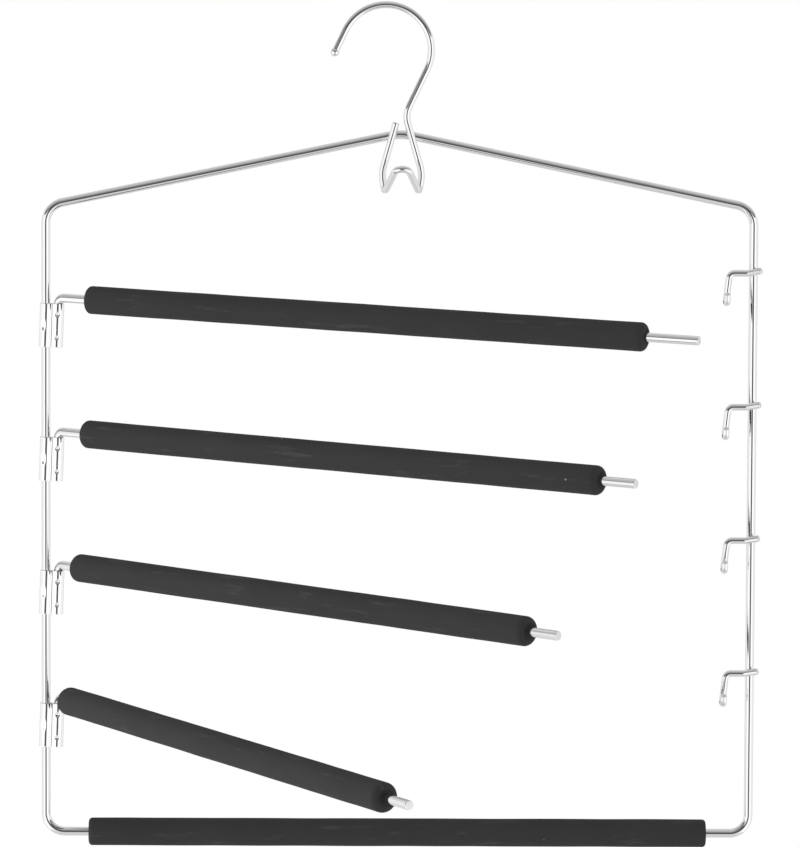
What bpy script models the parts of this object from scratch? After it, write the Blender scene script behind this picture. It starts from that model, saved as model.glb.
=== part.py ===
"""Five-tier swing-arm trouser hanger.

A bent wire frame with a rod hook carries four arms on rolled sheet brackets, the catches that
hold their free ends, and foam grips on the arms and on the bottom wire. The origin is where the
rod sits, on the inner crest of the hook. +X points to the catches, +Y to the back and +Z up.
"""

import math

import bmesh
import bpy
from mathutils import Vector

MM = 0.001

# Wire diameters
FRAME_WIRE = 4.8 * MM
ARM_WIRE = 4.9 * MM
HOOK_WIRE = 3.8 * MM
CATCH_WIRE = 3.6 * MM

# Frame, between wire centres
FRAME_WIDTH = 390.0 * MM
APEX_RISE = 40.5 * MM
FIRST_TIER_DROP = 50.45 * MM
TIER_PITCH = 73.95 * MM
LAST_TIER_RISE = 74.9 * MM
APEX_BEND = 30.0 * MM
SHOULDER_BEND = 11.5 * MM
CORNER_BEND = 10.5 * MM

# Hook: a tilted half circle, its straight tip, its stem, and the loop welded to the apex, whose crest
# is bent out to the front
HOOK_ROD_RADIUS = 22.9 * MM
HOOK_TILT = math.radians(25.5)
HOOK_TIP_LENGTH = 13.2 * MM
HOOK_TIP_BEAD = 4.8 * MM
HOOK_STEM_LENGTH = 27.3 * MM
HOOK_STEM_BEND = 13.0 * MM
HOOK_WELD_DROP = 10.45 * MM
APEX_OFFSET = 2.52 * MM
LOOP_OFFSET = 1.7 * MM
LOOP_KNEE_DROP = 32.25 * MM
LOOP_KNEE_WIDTH = 22.3 * MM
LOOP_KNEE_BEND = 20.0 * MM
LOOP_WIDTH = 19.2 * MM
LOOP_DROP = 41.15 * MM
LOOP_TURN_INSET = 0.8 * MM
LOOP_TURN_REACH = 4.6 * MM
LOOP_TURN_BEND = 2.3 * MM
LOOP_CREST_DROP = 22.35 * MM
LOOP_CREST_BEND = 4.4 * MM
LOOP_CREST_REACH = 31.4 * MM
LOOP_END_DROP = 4.4 * MM
LOOP_END_OFFSET = 3.3 * MM

# Swing arms: the rest angle of each arm away from the frame, its elbow's droop, and their bent wires
ARM_REST_SWING = (math.radians(23.7), math.radians(35.0), math.radians(44.8), math.radians(59.3))
ELBOW_DROOP = (math.radians(0.36), math.radians(-0.16), math.radians(-0.23), math.radians(0.59))
ARM_OVERHANG = 6.6 * MM
ELBOW_BEND = 3.7 * MM
ARM_TO_BRACKET_GAP = 0.7 * MM
LEG_TAIL = 0.6 * MM
GROOVE_DEPTH = 0.5 * MM
GROOVE_FLANK = 0.3 * MM

# Brackets: one strip of sheet rolled round the upright and round the arm's leg
SHEET = 0.6 * MM
BRACKET_HEIGHT = 24.2 * MM
BRACKET_WEB = 0.65 * MM
CREASE_BEND = 0.8 * MM
SEAM_GAP = 0.5 * MM
UPPER_DIMPLE = 3.1 * MM
UPPER_DIMPLE_DROP = 6.0 * MM
LOWER_DIMPLE = 2.5 * MM
LOWER_DIMPLE_RISE = 5.4 * MM
DIMPLE_DEPTH = 0.5 * MM
CRIMP_HEIGHT = 7.0 * MM
CRIMP_WIDTH = 3.9 * MM

# Catches: bent wires welded across the front of the right upright
CATCH_INSET = 15.3 * MM
CATCH_TAIL = 4.0 * MM
CATCH_RUN_RISE = 15.0 * MM
CATCH_BEND = 3.2 * MM
CATCH_LEG_SLANT = 1.9 * MM
CATCH_KINK_INSET = 3.4 * MM
CATCH_KINK_BEND = 3.0 * MM
CATCH_KINK_YAW = math.radians(25.0)
CATCH_KINK_RISE = math.radians(12.0)
SEAT_RISE = 0.85 * MM
LIP_HEIGHT = 3.3 * MM
LIP_FLARE = 2.0 * MM

# Foam grips: each arm's sleeve sits its own way from the hinge and from the wire's tip
GRIP_DIAMETER = 15.4 * MM
GRIP_RIM = 2.0 * MM
GRIP_HINGE_INSET = (18.9 * MM, 19.8 * MM, 16.6 * MM, 12.2 * MM)
GRIP_TIP_INSET = (29.5 * MM, 21.0 * MM, 19.7 * MM, 22.1 * MM)
BOTTOM_GRIP_INSET = 23.7 * MM

# Clearances
WELD_GAP = 0.3 * MM
UPRIGHT_PLAY = 0.55 * MM
LEAN_GAP = 0.15 * MM
CRIMP_GAP = 0.25 * MM
PIVOT_PLAY = 0.3 * MM
SLOT_PLAY = 0.3 * MM
GRIP_GAP = 0.3 * MM
WIRE_CHAMFER = 0.4 * MM

# Fineness of round forms
WIRE_RESOLUTION = 4
CATCH_RESOLUTION = 3
BEND_STEP = math.radians(12.0)
SHEET_STEP = math.radians(24.0)
PRESS_STEPS = 3
GRIP_SIDES = 28
RIM_STEPS = 3
BEAD_STEPS = 8
SHARP_ANGLE = math.radians(40.0)
FILLET_SHARE = 0.49

# Sizes that follow from those above
TIERS = len(ARM_REST_SWING)
FRAME_HEIGHT = FIRST_TIER_DROP + (TIERS - 1) * TIER_PITCH + LAST_TIER_RISE
FRAME_Y = (FRAME_WIRE + HOOK_WIRE) / 2 + WELD_GAP
UPRIGHT_LOOP = FRAME_WIRE / 2 + UPRIGHT_PLAY + SHEET / 2
PIVOT_LOOP = ARM_WIRE / 2 + PIVOT_PLAY + SHEET / 2
AXIS_SPACING = (FRAME_WIRE + ARM_WIRE) / 2 + UPRIGHT_PLAY + PIVOT_PLAY + BRACKET_WEB
CRIMP_DEPTH = UPRIGHT_PLAY - CRIMP_GAP
BRACKET_LEAN = math.asin(2 * (UPRIGHT_PLAY - LEAN_GAP) / BRACKET_HEIGHT)
ARM_ABOVE_BRACKET = ARM_WIRE / 2 + ARM_TO_BRACKET_GAP
ARM_ABOVE_CRIMP = BRACKET_HEIGHT / 2 + ARM_ABOVE_BRACKET
ARM_REACH = FRAME_WIDTH - AXIS_SPACING - CATCH_INSET + ARM_OVERHANG
SLOT_PITCH = ARM_WIRE + 2 * SLOT_PLAY + CATCH_WIRE

# Places of the hook's bend and of the frame
HOOK_RADIUS = HOOK_ROD_RADIUS + HOOK_WIRE / 2
HOOK_CENTRE = Vector((0, 0, -HOOK_ROD_RADIUS))
HOOK_OUT = Vector((math.cos(HOOK_TILT), 0, -math.sin(HOOK_TILT)))
HOOK_DOWN = Vector((-math.sin(HOOK_TILT), 0, -math.cos(HOOK_TILT)))
HOOK_NECK = HOOK_CENTRE + HOOK_RADIUS * HOOK_OUT + HOOK_STEM_LENGTH * HOOK_DOWN
APEX = Vector((HOOK_NECK.x - APEX_OFFSET, FRAME_Y, HOOK_NECK.z - HOOK_WELD_DROP))
LEFT_X = APEX.x - FRAME_WIDTH / 2
RIGHT_X = APEX.x + FRAME_WIDTH / 2
SHOULDER_Z = APEX.z - APEX_RISE
BOTTOM_Z = SHOULDER_Z - FRAME_HEIGHT


def clear_scene():
    """Remove every object that the scene starts with."""
    for item in list(bpy.data.objects):
        bpy.data.objects.remove(item, do_unlink=True)


def make_material(name, colour, metallic, roughness):
    """Return a plain Principled material."""
    material = bpy.data.materials.new(name)
    material.use_nodes = True
    shader = material.node_tree.nodes["Principled BSDF"]
    shader.inputs["Base Color"].default_value = (*colour, 1.0)
    shader.inputs["Metallic"].default_value = metallic
    shader.inputs["Roughness"].default_value = roughness
    material.diffuse_color = (*colour, 1.0)
    return material


def add_object(name, data, material, parent=None):
    """Put mesh or curve data into the scene under a name, with its material and parent."""
    item = bpy.data.objects.new(name, data)
    bpy.context.scene.collection.objects.link(item)
    item.parent = parent
    data.materials.append(material)
    return item


def add_axis(name, location, rotation, parent=None):
    """Add an empty that stands on a joint's axis."""
    axis = bpy.data.objects.new(name, None)
    bpy.context.scene.collection.objects.link(axis)
    axis.parent = parent
    axis.location = location
    axis.rotation_euler = rotation
    return axis


def tier_level(tier):
    """Return the height of an arm's wire at its hinge."""
    return SHOULDER_Z - FIRST_TIER_DROP - tier * TIER_PITCH


def spread(start, end, step):
    """Return even values from start to end, no further apart than step."""
    count = max(1, math.ceil(abs(end - start) / step))
    return [start + (end - start) * i / count for i in range(count + 1)]


def bend_points(before, corner, after, radius):
    """Return points of the arc that rounds a corner, held to the runs beside it."""
    back = (before - corner).normalized()
    ahead = (after - corner).normalized()
    half = back.angle(ahead) / 2
    room = FILLET_SHARE * min((before - corner).length, (after - corner).length)
    tangent = min(radius / math.tan(half), room)
    radius = tangent * math.tan(half)
    inward = (back + ahead).normalized()
    centre = corner + inward * radius / math.sin(half)
    side = (ahead - back).normalized()
    sweep = math.pi / 2 - half
    rays = [side * math.sin(a) - inward * math.cos(a) for a in spread(-sweep, sweep, BEND_STEP)]
    return [centre + radius * ray for ray in rays]


def bent_path(corners, radii):
    """Return the centre line through corners, each rounded by its own bend radius."""
    count = len(corners)
    points = []
    for i, corner in enumerate(corners):
        if radii[i]:
            points += bend_points(corners[i - 1], corner, corners[(i + 1) % count], radii[i])
        else:
            points.append(corner)
    return points


def chamfered_ends(points, diameter):
    """Return points and width factors of an open wire with both cut edges broken."""
    edge = 1 - 2 * WIRE_CHAMFER / diameter
    first = points[0] + (points[1] - points[0]).normalized() * WIRE_CHAMFER
    last = points[-1] + (points[-2] - points[-1]).normalized() * WIRE_CHAMFER
    path = [points[0], first, *points[1:-1], last, points[-1]]
    factors = [edge] + [1.0] * (len(path) - 2) + [edge]
    return path, factors


def add_wire(name, points, factors, diameter, resolution, material, parent=None, closed=False):
    """Sweep a round wire along points, each with its own share of the diameter."""
    curve = bpy.data.curves.new(name, "CURVE")
    curve.dimensions = "3D"
    curve.bevel_depth = diameter / 2
    curve.bevel_resolution = resolution
    curve.use_fill_caps = not closed
    spline = curve.splines.new("POLY")
    spline.points.add(len(points) - 1)
    for target, point, factor in zip(spline.points, points, factors):
        target.co = (*point, 1.0)
        target.radius = factor
    spline.use_cyclic_u = closed
    return add_object(name, curve, material, parent)


def finish_mesh(name, work, material, parent=None):
    """Turn a bmesh into a smooth-shaded object whose faces point outwards."""
    bmesh.ops.recalc_face_normals(work, faces=work.faces[:])
    mesh = bpy.data.meshes.new(name)
    work.to_mesh(mesh)
    work.free()
    mesh.shade_smooth()
    mesh.set_sharp_from_angle(angle=SHARP_ANGLE)
    return add_object(name, mesh, material, parent)


def add_frame(chrome):
    """Bend the closed frame: pitched top, two uprights and the bottom wire."""
    corners = [
        APEX,
        Vector((RIGHT_X, FRAME_Y, SHOULDER_Z)),
        Vector((RIGHT_X, FRAME_Y, BOTTOM_Z)),
        Vector((LEFT_X, FRAME_Y, BOTTOM_Z)),
        Vector((LEFT_X, FRAME_Y, SHOULDER_Z)),
    ]
    radii = [APEX_BEND, SHOULDER_BEND, CORNER_BEND, CORNER_BEND, SHOULDER_BEND]
    points = bent_path(corners, radii)
    add_wire("frame_wire", points, [1.0] * len(points), FRAME_WIRE, WIRE_RESOLUTION, chrome, closed=True)


def hook_tip(shank):
    """Return points and width factors of the rounded bead on the hook's free end."""
    bead = HOOK_TIP_BEAD / 2
    wire = HOOK_WIRE / 2
    centre = shank + HOOK_DOWN * HOOK_TIP_LENGTH
    neck = math.asin(wire / bead)
    edge = math.asin(WIRE_CHAMFER / bead)
    angles = spread(math.pi - edge, neck, (math.pi - edge - neck) / BEAD_STEPS)
    points = [centre - HOOK_DOWN * bead * math.cos(a) for a in angles]
    factors = [bead * math.sin(a) / wire for a in angles]
    return points, factors


def add_hook(chrome):
    """Bend the hook from its beaded tip, over the rod, down the stem and round the welded loop."""
    points, factors = hook_tip(HOOK_CENTRE - HOOK_RADIUS * HOOK_OUT)
    arc = []
    for angle in spread(math.pi - HOOK_TILT, -HOOK_TILT, BEND_STEP):
        arc.append(HOOK_CENTRE + HOOK_RADIUS * Vector((math.cos(angle), 0, math.sin(angle))))
    side = Vector((1, 0, 0))
    down = Vector((0, 0, -1))
    ahead = Vector((0, -1, 0))
    middle = HOOK_NECK - side * LOOP_OFFSET
    knee = side * LOOP_KNEE_WIDTH / 2 + down * LOOP_KNEE_DROP
    outer = side * LOOP_WIDTH / 2 + down * LOOP_DROP
    inner = outer - side * LOOP_TURN_INSET + ahead * LOOP_TURN_REACH
    mirror = Vector((-1, 1, 1))
    corners = [
        arc[-1],
        HOOK_NECK,
        middle + knee,
        middle + outer,
        middle + inner,
        middle + down * LOOP_CREST_DROP + ahead * LOOP_CREST_REACH,
        middle + inner * mirror,
        middle + outer * mirror,
        middle + knee * mirror,
        middle - side * LOOP_END_OFFSET + down * LOOP_END_DROP,
    ]
    turns = [LOOP_TURN_BEND, LOOP_TURN_BEND]
    radii = [0, HOOK_STEM_BEND, LOOP_KNEE_BEND, *turns, LOOP_CREST_BEND, *turns, LOOP_KNEE_BEND, 0]
    loop = bent_path(corners, radii)
    tail, tail_factors = chamfered_ends([loop[-2], loop[-1]], HOOK_WIRE)
    points += arc + loop[1:-1] + tail[-2:]
    factors += [1.0] * (len(arc) + len(loop) - 2) + tail_factors[-2:]
    add_wire("hook", points, factors, HOOK_WIRE, WIRE_RESOLUTION, chrome)


def add_catch(tier, chrome):
    """Bend one catch: welded tail, kink, level run, leg and the slot that holds an arm's end."""
    seat = tier_level(tier) + SEAT_RISE
    run_z = tier_level(tier) + CATCH_RUN_RISE
    floor_z = seat - CATCH_WIRE / 2
    upright = Vector((RIGHT_X, FRAME_Y, 0))
    reach = (FRAME_WIRE + CATCH_WIRE) / 2 + WELD_GAP
    run_y = (CATCH_KINK_INSET * math.sin(CATCH_KINK_YAW) - reach) / math.cos(CATCH_KINK_YAW)
    kink = upright + Vector((-CATCH_KINK_INSET, run_y, run_z))
    tail_run = CATCH_KINK_INSET + CATCH_TAIL
    tail_rise = tail_run * math.tan(CATCH_KINK_RISE)
    tail = kink + Vector((tail_run, -tail_run * math.tan(CATCH_KINK_YAW), tail_rise))
    leg = upright + Vector((-CATCH_INSET, run_y, 0))
    front = Vector((0, -SLOT_PITCH, 0))
    slant = Vector((CATCH_LEG_SLANT, 0, 0))
    corners = [
        tail,
        kink,
        leg + slant + Vector((0, 0, run_z)),
        leg + Vector((0, 0, floor_z)),
        leg + front + Vector((0, 0, floor_z)),
        leg + front + Vector((0, -LIP_FLARE, seat + LIP_HEIGHT)),
    ]
    turn = SLOT_PITCH / 2
    path = bent_path(corners, [0, CATCH_KINK_BEND, CATCH_BEND, turn, turn, 0])
    points, factors = chamfered_ends(path, CATCH_WIRE)
    add_wire(f"catch_{tier + 1}", points, factors, CATCH_WIRE, CATCH_RESOLUTION, chrome)


def bracket_section():
    """Return the rolled strip in plan as (point, outward normal, wire, angle), seam edge to seam edge."""
    near = UPRIGHT_LOOP + CREASE_BEND
    far = PIVOT_LOOP + CREASE_BEND
    along = (near * near - far * far + AXIS_SPACING * AXIS_SPACING) / (2 * AXIS_SPACING)
    out = math.sqrt(near * near - along * along)
    upright_edge = math.atan2(out, along)
    pivot_edge = math.atan2(out, AXIS_SPACING - along)
    seam = math.asin(SEAM_GAP / (2 * CREASE_BEND))
    front = 1.5 * math.pi
    turn = 2 * math.pi

    def loop(centre_x, radius, start, end, half_press, wire):
        angles = spread(start, front - half_press, SHEET_STEP)[:-1]
        angles += spread(front - half_press, front + half_press, half_press / PRESS_STEPS)
        angles += spread(front + half_press, end, SHEET_STEP)[1:]
        for angle in angles:
            normal = Vector((math.cos(angle), math.sin(angle), 0))
            section.append((Vector((centre_x, 0, 0)) + radius * normal, normal, wire, angle - front))

    def crease(side, start, end):
        centre = Vector((along, side * out, 0))
        for angle in spread(start, end, SHEET_STEP):
            ray = Vector((math.cos(angle), math.sin(angle), 0))
            section.append((centre + CREASE_BEND * ray, -ray, None, 0.0))

    section = []
    crease(1, front - seam, math.pi + upright_edge)
    section.pop()
    upright_press = CRIMP_WIDTH / (2 * UPRIGHT_LOOP)
    loop(0, UPRIGHT_LOOP, upright_edge, turn - upright_edge, upright_press, "upright")
    section.pop()
    crease(-1, math.pi - upright_edge, pivot_edge)
    section.pop()
    pivot_press = max(UPPER_DIMPLE, LOWER_DIMPLE) / (2 * PIVOT_LOOP)
    loop(AXIS_SPACING, PIVOT_LOOP, math.pi + pivot_edge, turn + math.pi - pivot_edge, pivot_press, "pivot")
    section.pop()
    crease(1, turn - pivot_edge, front + seam)
    return section


def presses(wire):
    """Return (height above the crimp, width, height, depth, loop radius) of what is pressed into a sleeve."""
    half = BRACKET_HEIGHT / 2
    if wire == "upright":
        return [(0.0, CRIMP_WIDTH, CRIMP_HEIGHT, CRIMP_DEPTH, UPRIGHT_LOOP)]
    if wire == "pivot":
        return [
            (LOWER_DIMPLE_RISE - half, LOWER_DIMPLE, LOWER_DIMPLE, DIMPLE_DEPTH, PIVOT_LOOP),
            (half - UPPER_DIMPLE_DROP, UPPER_DIMPLE, UPPER_DIMPLE, DIMPLE_DEPTH, PIVOT_LOOP),
        ]
    return []


def press_depth(wire, angle, height):
    """Return how far a sleeve's wall is pushed in at an angle from its front and a height."""
    depth = 0.0
    for centre, wide, tall, deep, radius in presses(wire):
        share = math.hypot(2 * radius * angle / wide, 2 * (height - centre) / tall)
        if share < 1:
            depth += deep * (1 + math.cos(math.pi * share)) / 2
    return depth


def column_heights(wire, angle):
    """Return the heights of one upright row of the sleeve's points."""
    half = BRACKET_HEIGHT / 2
    heights = [-half]
    for centre, wide, tall, _, radius in presses(wire):
        if abs(angle) * radius <= wide / 2:
            heights += spread(centre - tall / 2, centre + tall / 2, tall / (2 * PRESS_STEPS))
    return heights + [half]


def zip_columns(work, left, right):
    """Fill the strip between two upright rows of points with triangles."""
    i = 0
    j = 0
    while i < len(left) - 1 or j < len(right) - 1:
        left_next = left[i + 1].co.z if i < len(left) - 1 else math.inf
        right_next = right[j + 1].co.z if j < len(right) - 1 else math.inf
        if left_next <= right_next:
            work.faces.new((left[i], right[j], left[i + 1]))
            i += 1
        else:
            work.faces.new((left[i], right[j], right[j + 1]))
            j += 1


def add_bracket(tier, axis, chrome):
    """Roll one hinge bracket, with its crimp on the upright and its dimples in the leg's grooves."""
    work = bmesh.new()
    outside = []
    inside = []
    for point, normal, wire, angle in bracket_section():
        outer = []
        inner = []
        for height in column_heights(wire, angle):
            sheet = point - normal * press_depth(wire, angle, height) + Vector((0, 0, height))
            outer.append(work.verts.new(sheet + normal * SHEET / 2))
            inner.append(work.verts.new(sheet - normal * SHEET / 2))
        outside.append(outer)
        inside.append(inner)
    for i in range(len(outside) - 1):
        zip_columns(work, outside[i], outside[i + 1])
        zip_columns(work, inside[i + 1], inside[i])
        for end in (0, -1):
            work.faces.new((outside[i][end], outside[i + 1][end], inside[i + 1][end], inside[i][end]))
    zip_columns(work, inside[0], outside[0])
    zip_columns(work, outside[-1], inside[-1])
    finish_mesh(f"hinge_bracket_{tier + 1}", work, chrome, axis)


def leg_points():
    """Return points and width factors of an arm's grooved leg, from its lower end up."""
    bracket_top = -ARM_ABOVE_BRACKET
    bracket_foot = bracket_top - BRACKET_HEIGHT
    foot = bracket_foot - LEG_TAIL
    narrow = 1 - 2 * GROOVE_DEPTH / ARM_WIRE
    stations = [(foot, 1 - 2 * WIRE_CHAMFER / ARM_WIRE), (foot + WIRE_CHAMFER, 1.0)]
    lower = (bracket_foot + LOWER_DIMPLE_RISE, LOWER_DIMPLE)
    upper = (bracket_top - UPPER_DIMPLE_DROP, UPPER_DIMPLE)
    for centre, width in (lower, upper):
        half = width / 2
        stations.append((centre - half, 1.0))
        stations.append((centre - half + GROOVE_FLANK, narrow))
        stations.append((centre + half - GROOVE_FLANK, narrow))
        stations.append((centre + half, 1.0))
    points = [Vector((0, 0, height)) for height, _ in stations]
    return points, [factor for _, factor in stations]


def arm_direction(tier):
    """Return the way that an arm's wire points away from its elbow."""
    return Vector((math.cos(ELBOW_DROOP[tier]), 0, -math.sin(ELBOW_DROOP[tier])))


def add_arm(tier, axis, chrome):
    """Bend one arm: grooved leg in the bracket, tight elbow and the long straight wire."""
    points, factors = leg_points()
    tip = arm_direction(tier) * ARM_REACH
    elbow = bend_points(points[-1], Vector((0, 0, 0)), tip, ELBOW_BEND)
    end, end_factors = chamfered_ends([elbow[-1], tip], ARM_WIRE)
    points += elbow + end[-2:]
    factors += [1.0] * len(elbow) + end_factors[-2:]
    add_wire(f"arm_wire_{tier + 1}", points, factors, ARM_WIRE, WIRE_RESOLUTION, chrome, axis)


def add_grip(name, start, end, wire, foam, parent=None):
    """Turn one foam sleeve over a wire that runs from start to end."""
    along = (end - start).normalized()
    across = along.cross(Vector((0, 1, 0))).normalized()
    length = (end - start).length
    bore = wire / 2 + GRIP_GAP
    rim = min(GRIP_RIM, GRIP_DIAMETER / 2 - bore)
    waist = GRIP_DIAMETER / 2 - rim
    quarter = spread(0, math.pi / 2, math.pi / (2 * RIM_STEPS))
    near = [(rim * (1 - math.sin(a)), waist + rim * math.cos(a)) for a in reversed(quarter)]
    far = [(length - rim * (1 - math.sin(a)), waist + rim * math.cos(a)) for a in quarter]
    work = bmesh.new()
    profile = [(0, bore), *near, *far, (length, bore)]
    verts = [work.verts.new(start + along * x + across * r) for x, r in profile]
    edges = [work.edges.new((verts[i - 1], verts[i])) for i in range(len(verts))]
    bmesh.ops.spin(
        work, geom=verts + edges, cent=start, axis=along, angle=2 * math.pi, steps=GRIP_SIDES, use_merge=True
    )
    finish_mesh(name, work, foam, parent)


def add_tier(tier, chrome, sheet, foam):
    """Build one swing tier: its bracket, its arm, the arm's grip and its catch."""
    crimp = Vector((LEFT_X, FRAME_Y, tier_level(tier) - ARM_ABOVE_CRIMP))
    rock = add_axis(f"rock_axis_{tier + 1}", crimp, (0, BRACKET_LEAN, 0))
    pivot = Vector((AXIS_SPACING, 0, ARM_ABOVE_CRIMP))
    swing = add_axis(f"swing_axis_{tier + 1}", pivot, (0, 0, -ARM_REST_SWING[tier]), rock)
    add_bracket(tier, rock, sheet)
    add_arm(tier, swing, chrome)
    start = arm_direction(tier) * GRIP_HINGE_INSET[tier]
    end = arm_direction(tier) * (ARM_REACH - GRIP_TIP_INSET[tier])
    add_grip(f"arm_grip_{tier + 1}", start, end, ARM_WIRE, foam, swing)
    add_catch(tier, chrome)


def main():
    """Build the whole hanger."""
    clear_scene()
    chrome = make_material("chrome_plated_wire", (0.80, 0.81, 0.82), 1.0, 0.08)
    sheet = make_material("chrome_plated_sheet", (0.78, 0.79, 0.80), 1.0, 0.12)
    foam = make_material("black_foam", (0.045, 0.045, 0.046), 0.0, 0.85)
    add_frame(chrome)
    add_hook(chrome)
    for tier in range(TIERS):
        add_tier(tier, chrome, sheet, foam)
    left = Vector((LEFT_X + BOTTOM_GRIP_INSET, FRAME_Y, BOTTOM_Z))
    right = Vector((RIGHT_X - BOTTOM_GRIP_INSET, FRAME_Y, BOTTOM_Z))
    add_grip("bottom_grip", left, right, FRAME_WIRE, foam)


main()
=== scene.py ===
"""Looks of a five-tier swing-arm trouser hanger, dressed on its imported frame.

Bright chrome plate on bent wire and rolled sheet, with black foam sleeves, in a plain white studio.
Lengths are in metres in the part's own frame: the origin lies under the crest of the hook, +X points to
the catches, +Y to the back and +Z up.
"""

import logging
import math
from collections.abc import Sequence
from dataclasses import dataclass, field
from enum import Enum
from typing import Any

import bpy
import numpy as np
from bpy.types import Material, Mesh, Node, NodeSocket, NodeTree, Object
from mathutils import Matrix, Vector, noise


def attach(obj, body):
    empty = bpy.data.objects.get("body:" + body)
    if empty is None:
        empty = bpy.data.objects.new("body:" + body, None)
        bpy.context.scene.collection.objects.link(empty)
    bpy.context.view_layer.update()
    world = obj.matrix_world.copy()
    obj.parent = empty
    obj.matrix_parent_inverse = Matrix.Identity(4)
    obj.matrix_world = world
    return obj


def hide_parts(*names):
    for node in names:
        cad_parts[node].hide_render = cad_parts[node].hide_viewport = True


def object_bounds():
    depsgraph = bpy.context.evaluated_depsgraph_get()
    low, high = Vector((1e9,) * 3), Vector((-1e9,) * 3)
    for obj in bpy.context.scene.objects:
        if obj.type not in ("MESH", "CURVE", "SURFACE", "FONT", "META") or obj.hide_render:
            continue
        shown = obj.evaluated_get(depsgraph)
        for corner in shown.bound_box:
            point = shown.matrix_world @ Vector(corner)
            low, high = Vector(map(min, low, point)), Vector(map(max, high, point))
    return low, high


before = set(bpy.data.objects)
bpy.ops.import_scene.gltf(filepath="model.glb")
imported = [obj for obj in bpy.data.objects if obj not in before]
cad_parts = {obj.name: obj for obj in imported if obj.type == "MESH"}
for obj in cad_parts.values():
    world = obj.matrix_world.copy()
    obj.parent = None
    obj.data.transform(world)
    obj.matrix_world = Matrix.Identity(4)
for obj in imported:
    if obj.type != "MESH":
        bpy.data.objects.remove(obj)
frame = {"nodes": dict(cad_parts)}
CAD_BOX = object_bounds()

LOG = logging.getLogger("hanger")
MM = 0.001
UP = Vector((0, 0, 1))
WHITE = "#FFFFFF"
SMOOTH = {"interpolation_type": "SMOOTHSTEP"}

# Sources of a node's inputs, faces as places of their points, and UVs
Inputs = dict[str | int, Any]
Faces = list[tuple[int, ...]]
Flat = list[tuple[float, float]]

# Fineness of the round forms
WIRE_SIDES = 40
BEND_STEP = math.radians(3.0)
EDGE_STEP = math.pi / 10
RIM_STEP = math.pi / 16
SHEET_STEP = math.radians(5.0)
CREASE_STEP = 2 * SHEET_STEP
SHEET_ROW = 0.4 * MM
GRIP_SIDES = 72
GRIP_RING = 2.5 * MM
SHARP_ANGLE = math.radians(50.0)
FILLET_SHARE = 0.49
BRACE = 0.4 * MM
BRACED_RUN = 4 * BRACE
TINY = 1e-12
FULL_TURN = 2 * math.pi
# The way to the front, as an angle seen from above
FRONT = 1.5 * math.pi

# Sheared face of a wire: shares of its radius inside the broken edge, and how far it is domed
FACE_CORE = 0.35
FACE_RIM = 0.9
FACE_DOME = 0.01 * MM


class Gauge(Enum):
    """Diameters of the drawn wires."""

    FRAME = 4.8 * MM
    ARM = 4.9 * MM
    HOOK = 3.8 * MM
    CATCH = 3.6 * MM

    @property
    def radius(self) -> float:
        """Half the wire's diameter."""
        return self.value / 2


class Slot(Enum):
    """Material slots of the part's record."""

    CHROME_WIRE = "chrome_wire"
    CHROME_SHEET = "chrome_sheet"
    BLACK_FOAM = "black_foam"


class Sleeve(Enum):
    """The two sleeves that a bracket is rolled into, and the web between them."""

    UPRIGHT = "upright"
    PIVOT = "pivot"
    WEB = "web"


def linear(colour: str) -> tuple[float, float, float, float]:
    """Turns an sRGB hex colour into linear red, green, blue and full alpha.

    Args:
        colour: Six hex digits after a hash sign.

    Returns:
        Four numbers for a shader's colour socket.
    """
    parts = [int(colour[i : i + 2], 16) / 255 for i in (1, 3, 5)]
    values = [c / 12.92 if c <= 0.04045 else ((c + 0.055) / 1.055) ** 2.4 for c in parts]
    return (*values, 1.0)


def feed(node: Node, inputs: Inputs) -> None:
    """Fills a node's input sockets.

    Args:
        node: The node.
        inputs: By each socket's name or place: a constant, an output socket, or a node for its main output.
    """
    for name, source in inputs.items():
        if isinstance(source, Node):
            source = next(s for s in source.outputs if s.enabled)
        if isinstance(source, NodeSocket):
            node.id_data.links.new(source, node.inputs[name])
        else:
            node.inputs[name].default_value = source


def add_node(tree: NodeTree, kind: str, inputs: Inputs | None = None, **settings: str) -> Node:
    """Adds one node to a shader tree.

    Args:
        tree: The tree that takes the node.
        kind: Blender's type name of the node, after the word ShaderNode.
        inputs: What goes into its sockets, as feed takes it.
        settings: Properties of the node itself.

    Returns:
        The new node.
    """
    node = tree.nodes.new("ShaderNode" + kind)
    for name, value in settings.items():
        setattr(node, name, value)
    feed(node, inputs or {})
    return node


@dataclass(frozen=True)
class Fade:
    """How one value follows another.

    Attributes:
        low: Where the other value starts to count.
        high: Where it stops.
        start: The value up to low.
        end: The value from high on.
    """

    low: float
    high: float
    start: float = 0.0
    end: float = 1.0

    def of(self, other: Node | NodeSocket) -> Inputs:
        """Returns the inputs of a Map Range node that follows another value."""
        reach = {"From Min": self.low, "From Max": self.high, "To Min": self.start, "To Max": self.end}
        return {"Value": other, **reach}


class Pattern(Enum):
    """Procedural patterns, by the node that draws them."""

    CLOUDS = "TexNoise"
    CELLS = "TexVoronoi"


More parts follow.
